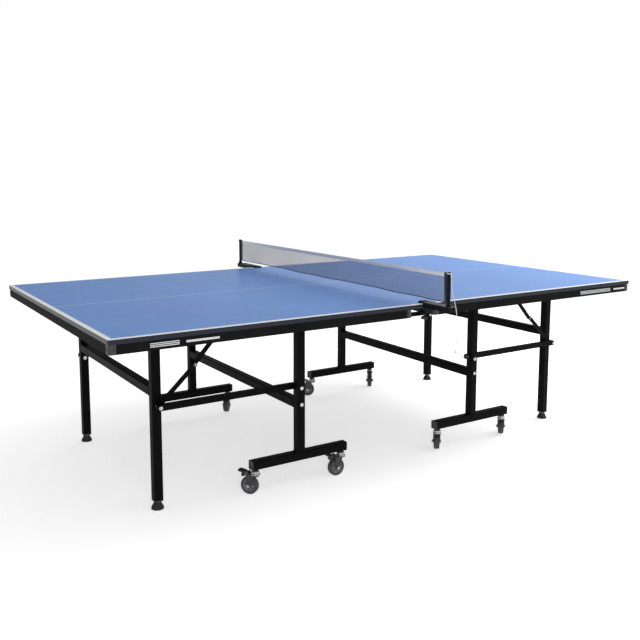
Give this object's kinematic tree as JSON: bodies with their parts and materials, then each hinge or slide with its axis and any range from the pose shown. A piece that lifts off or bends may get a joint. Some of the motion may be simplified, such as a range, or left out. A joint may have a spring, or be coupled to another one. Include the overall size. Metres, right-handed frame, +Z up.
{
  "type": "table tennis table",
  "caption": "Full-size table tennis table in two hinged rolling halves with folding legs, stays, casters, levelling feet and a clamp-on net.",
  "frame": {"origin": "on the floor under the middle of the table, at the net line", "axes": "+X along the table's length, +Y across it towards the rear, +Z up"},
  "size_m": [2.74, 1.8712, 0.9125],
  "materials": {
    "board_blue": "satin painted board",
    "apron_charcoal": "fine textured paint",
    "cap_plastic": "satin plastic",
    "frame_black": "satin paint",
    "bolt_steel": "bright zinc",
    "plug_black": "matte plastic",
    "foot_rubber": "matte rubber",
    "fork_steel": "zinc plated",
    "wheel_rubber": "matte rubber tyre",
    "net_post_black": "satin paint",
    "net_mesh": "knitted mesh",
    "cord_white": "braided cord"
  },
  "bodies": {
    "left_stand": {"left_wheel_stand": "frame_black", "left_stand_end_caps": "plug_black", "left_stand_bolts": "bolt_steel"},
    "left_top": {"left_table_board": "board_blue", "left_apron_rails": "apron_charcoal", "left_corner_caps": "cap_plastic", "left_under_frame": "frame_black", "left_top_bolts": "bolt_steel"},
    "left_legs": {"left_leg_frame": "frame_black", "left_leg_plugs": "plug_black", "left_leg_bolts": "bolt_steel"},
    "left_links": {"left_link_rods": "frame_black"},
    "left_stay_lower": {"left_stay_lower_arms": "frame_black"},
    "left_stay_upper": {"left_stay_upper_arms": "frame_black"},
    "left_front_foot": {"left_front_foot": "foot_rubber"},
    "left_rear_foot": {"left_rear_foot": "foot_rubber"},
    "left_lock_knob": {"left_lock_knob": "plug_black"},
    "left_caster_1": {"left_caster_fork_1": "fork_steel"},
    "left_wheel_1": {"left_caster_wheel_1": "wheel_rubber"},
    "left_pedal_1": {"left_brake_pedal_1": "plug_black"},
    "left_caster_2": {"left_caster_fork_2": "fork_steel"},
    "left_wheel_2": {"left_caster_wheel_2": "wheel_rubber"},
    "left_pedal_2": {"left_brake_pedal_2": "plug_black"},
    "left_caster_3": {"left_caster_fork_3": "fork_steel"},
    "left_wheel_3": {"left_caster_wheel_3": "wheel_rubber"},
    "left_caster_4": {"left_caster_fork_4": "fork_steel"},
    "left_wheel_4": {"left_caster_wheel_4": "wheel_rubber"},
    "right_stand": {"right_wheel_stand": "frame_black", "right_stand_end_caps": "plug_black", "right_stand_bolts": "bolt_steel"},
    "right_top": {"right_table_board": "board_blue", "right_apron_rails": "apron_charcoal", "right_corner_caps": "cap_plastic", "right_under_frame": "frame_black", "right_top_bolts": "bolt_steel", "net_fabric": "net_mesh"},
    "right_legs": {"right_leg_frame": "frame_black", "right_leg_plugs": "plug_black", "right_leg_bolts": "bolt_steel"},
    "right_links": {"right_link_rods": "frame_black"},
    "right_stay_lower": {"right_stay_lower_arms": "frame_black"},
    "right_stay_upper": {"right_stay_upper_arms": "frame_black"},
    "right_front_foot": {"right_front_foot": "foot_rubber"},
    "right_rear_foot": {"right_rear_foot": "foot_rubber"},
    "right_lock_knob": {"right_lock_knob": "plug_black"},
    "right_caster_1": {"right_caster_fork_1": "fork_steel"},
    "right_wheel_1": {"right_caster_wheel_1": "wheel_rubber"},
    "right_caster_2": {"right_caster_fork_2": "fork_steel"},
    "right_wheel_2": {"right_caster_wheel_2": "wheel_rubber"},
    "right_caster_3": {"right_caster_fork_3": "fork_steel"},
    "right_wheel_3": {"right_caster_wheel_3": "wheel_rubber"},
    "right_pedal_3": {"right_brake_pedal_3": "plug_black"},
    "right_caster_4": {"right_caster_fork_4": "fork_steel"},
    "right_wheel_4": {"right_caster_wheel_4": "wheel_rubber"},
    "right_pedal_4": {"right_brake_pedal_4": "plug_black"},
    "net_post_front": {"net_post_front": "net_post_black", "net_cord": "cord_white"},
    "net_post_rear": {"net_post_rear": "net_post_black"},
    "clamp_screw_front": {"clamp_screw_front": "plug_black"},
    "clamp_screw_rear": {"clamp_screw_rear": "plug_black"}
  },
  "joints": [
    {"name": "left_top_fold", "type": "hinge", "parent": "left_stand", "child": "left_top", "pos_m": [-0.455, 0, 0.719], "axis": [0, 1, 0], "range_deg": [0, 90]},
    {"name": "left_leg_fold", "type": "hinge", "parent": "left_top", "child": "left_legs", "pos_m": [-1.06, 0, 0.719], "axis": [0, 1, 0], "range_deg": [-90, 0]},
    {"name": "left_link_fold", "type": "hinge", "parent": "left_stand", "child": "left_links", "pos_m": [-0.49, 0, 0.421], "axis": [0, 1, 0], "range_deg": [0, 90]},
    {"name": "left_stay_lower_fold", "type": "hinge", "parent": "left_legs", "child": "left_stay_lower", "pos_m": [-1.095, 0, 0.421], "axis": [0, 1, 0], "range_deg": [-80.52, 0]},
    {"name": "left_stay_upper_fold", "type": "hinge", "parent": "left_top", "child": "left_stay_upper", "pos_m": [-0.817, 0, 0.7], "axis": [0, 1, 0], "range_deg": [0, 0.342]},
    {"name": "left_front_foot_level", "type": "slide", "parent": "left_legs", "child": "left_front_foot", "axis": [0, 0, -1], "range_m": [0, 0.015]},
    {"name": "left_rear_foot_level", "type": "slide", "parent": "left_legs", "child": "left_rear_foot", "axis": [0, 0, -1], "range_m": [0, 0.015]},
    {"name": "left_lock_pull", "type": "slide", "parent": "left_stand", "child": "left_lock_knob", "axis": [1, 0, 0], "range_m": [0, 0.012], "stiffness_N_per_m": 600},
    {"name": "left_caster_1_swivel", "type": "hinge", "parent": "left_stand", "child": "left_caster_1", "pos_m": [-0.702, -0.551, 0.1], "axis": [0, 0, 1], "continuous": true},
    {"name": "left_wheel_1_roll", "type": "hinge", "parent": "left_caster_1", "child": "left_wheel_1", "pos_m": [-0.71705, -0.53103, 0.0375], "axis": [-0.7986, -0.6018, 0], "continuous": true},
    {"name": "left_pedal_1_press", "type": "hinge", "parent": "left_caster_1", "child": "left_pedal_1", "pos_m": [-0.72066, -0.52624, 0.091], "axis": [-0.7986, -0.6018, 0], "range_deg": [0, 10]},
    {"name": "left_caster_2_swivel", "type": "hinge", "parent": "left_stand", "child": "left_caster_2", "pos_m": [-0.278, -0.551, 0.1], "axis": [0, 0, 1], "continuous": true},
    {"name": "left_wheel_2_roll", "type": "hinge", "parent": "left_caster_2", "child": "left_wheel_2", "pos_m": [-0.303, -0.551, 0.0375], "axis": [0, -1, 0], "continuous": true},
    {"name": "left_pedal_2_press", "type": "hinge", "parent": "left_caster_2", "child": "left_pedal_2", "pos_m": [-0.309, -0.551, 0.091], "axis": [0, -1, 0], "range_deg": [0, 10]},
    {"name": "left_caster_3_swivel", "type": "hinge", "parent": "left_stand", "child": "left_caster_3", "pos_m": [-0.702, 0.551, 0.1], "axis": [0, 0, 1], "continuous": true},
    {"name": "left_wheel_3_roll", "type": "hinge", "parent": "left_caster_3", "child": "left_wheel_3", "pos_m": [-0.71257, 0.52834, 0.0375], "axis": [0.9063, -0.4226, 0], "continuous": true},
    {"name": "left_caster_4_swivel", "type": "hinge", "parent": "left_stand", "child": "left_caster_4", "pos_m": [-0.278, 0.551, 0.1], "axis": [0, 0, 1], "continuous": true},
    {"name": "left_wheel_4_roll", "type": "hinge", "parent": "left_caster_4", "child": "left_wheel_4", "pos_m": [-0.29407, 0.53185, 0.0375], "axis": [0.766, -0.6428, 0], "continuous": true},
    {"name": "right_top_fold", "type": "hinge", "parent": "right_stand", "child": "right_top", "pos_m": [0.455, 0, 0.719], "axis": [0, -1, 0], "range_deg": [0, 90]},
    {"name": "right_leg_fold", "type": "hinge", "parent": "right_top", "child": "right_legs", "pos_m": [1.06, 0, 0.719], "axis": [0, -1, 0], "range_deg": [-90, 0]},
    {"name": "right_link_fold", "type": "hinge", "parent": "right_stand", "child": "right_links", "pos_m": [0.49, 0, 0.421], "axis": [0, -1, 0], "range_deg": [0, 90]},
    {"name": "right_stay_lower_fold", "type": "hinge", "parent": "right_legs", "child": "right_stay_lower", "pos_m": [1.095, 0, 0.421], "axis": [0, -1, 0], "range_deg": [-80.52, 0]},
    {"name": "right_stay_upper_fold", "type": "hinge", "parent": "right_top", "child": "right_stay_upper", "pos_m": [0.817, 0, 0.7], "axis": [0, -1, 0], "range_deg": [0, 0.342]},
    {"name": "right_front_foot_level", "type": "slide", "parent": "right_legs", "child": "right_front_foot", "axis": [0, 0, -1], "range_m": [0, 0.015]},
    {"name": "right_rear_foot_level", "type": "slide", "parent": "right_legs", "child": "right_rear_foot", "axis": [0, 0, -1], "range_m": [0, 0.015]},
    {"name": "right_lock_pull", "type": "slide", "parent": "right_stand", "child": "right_lock_knob", "axis": [-1, 0, 0], "range_m": [0, 0.012], "stiffness_N_per_m": 600},
    {"name": "right_caster_1_swivel", "type": "hinge", "parent": "right_stand", "child": "right_caster_1", "pos_m": [0.702, -0.551, 0.1], "axis": [0, 0, 1], "continuous": true},
    {"name": "right_wheel_1_roll", "type": "hinge", "parent": "right_caster_1", "child": "right_wheel_1", "pos_m": [0.71905, -0.53272, 0.0375], "axis": [-0.7314, 0.682, 0], "continuous": true},
    {"name": "right_caster_2_swivel", "type": "hinge", "parent": "right_stand", "child": "right_caster_2", "pos_m": [0.278, -0.551, 0.1], "axis": [0, 0, 1], "continuous": true},
    {"name": "right_wheel_2_roll", "type": "hinge", "parent": "right_caster_2", "child": "right_wheel_2", "pos_m": [0.29339, -0.5313, 0.0375], "axis": [-0.788, 0.6157, 0], "continuous": true},
    {"name": "right_caster_3_swivel", "type": "hinge", "parent": "right_stand", "child": "right_caster_3", "pos_m": [0.702, 0.551, 0.1], "axis": [0, 0, 1], "continuous": true},
    {"name": "right_wheel_3_roll", "type": "hinge", "parent": "right_caster_3", "child": "right_wheel_3", "pos_m": [0.68695, 0.53103, 0.0375], "axis": [0.7986, -0.6018, 0], "continuous": true},
    {"name": "right_pedal_3_press", "type": "hinge", "parent": "right_caster_3", "child": "right_pedal_3", "pos_m": [0.68334, 0.52624, 0.091], "axis": [0.7986, -0.6018, 0], "range_deg": [0, 10]},
    {"name": "right_caster_4_swivel", "type": "hinge", "parent": "right_stand", "child": "right_caster_4", "pos_m": [0.278, 0.551, 0.1], "axis": [0, 0, 1], "continuous": true},
    {"name": "right_wheel_4_roll", "type": "hinge", "parent": "right_caster_4", "child": "right_wheel_4", "pos_m": [0.25703, 0.56462, 0.0375], "axis": [-0.5446, -0.8387, 0], "continuous": true},
    {"name": "right_pedal_4_press", "type": "hinge", "parent": "right_caster_4", "child": "right_pedal_4", "pos_m": [0.252, 0.56788, 0.091], "axis": [-0.5446, -0.8387, 0], "range_deg": [0, 10]},
    {"name": "halves_apart", "type": "slide", "parent": "left_stand", "child": "right_stand", "axis": [1, 0, 0], "range_m": [0, 0.6]},
    {"name": "net_post_front_slide", "type": "slide", "parent": "right_top", "child": "net_post_front", "axis": [0, -1, 0], "range_m": [0, 0.08], "deforming": ["net_fabric"]},
    {"name": "clamp_screw_front_turn_down", "type": "slide", "parent": "net_post_front", "child": "clamp_screw_front", "axis": [0, 0, -1], "range_m": [0, 0.012]},
    {"name": "net_post_rear_slide", "type": "slide", "parent": "right_top", "child": "net_post_rear", "axis": [0, 1, 0], "range_m": [0, 0.08]},
    {"name": "clamp_screw_rear_turn_down", "type": "slide", "parent": "net_post_rear", "child": "clamp_screw_rear", "axis": [0, 0, -1], "range_m": [0, 0.012]}
  ],
  "couplings": [
    {"joint": "left_leg_fold", "follows": "left_top_fold", "ratio": -1},
    {"joint": "left_link_fold", "follows": "left_top_fold", "ratio": 1},
    {"joint": "left_stay_lower_fold", "follows": "left_top_fold", "ratio": -0.89454},
    {"joint": "left_stay_upper_fold", "follows": "left_top_fold", "ratio": 0.003693},
    {"joint": "right_leg_fold", "follows": "right_top_fold", "ratio": -1},
    {"joint": "right_link_fold", "follows": "right_top_fold", "ratio": 1},
    {"joint": "right_stay_lower_fold", "follows": "right_top_fold", "ratio": -0.89454},
    {"joint": "right_stay_upper_fold", "follows": "right_top_fold", "ratio": 0.003693}
  ]
}
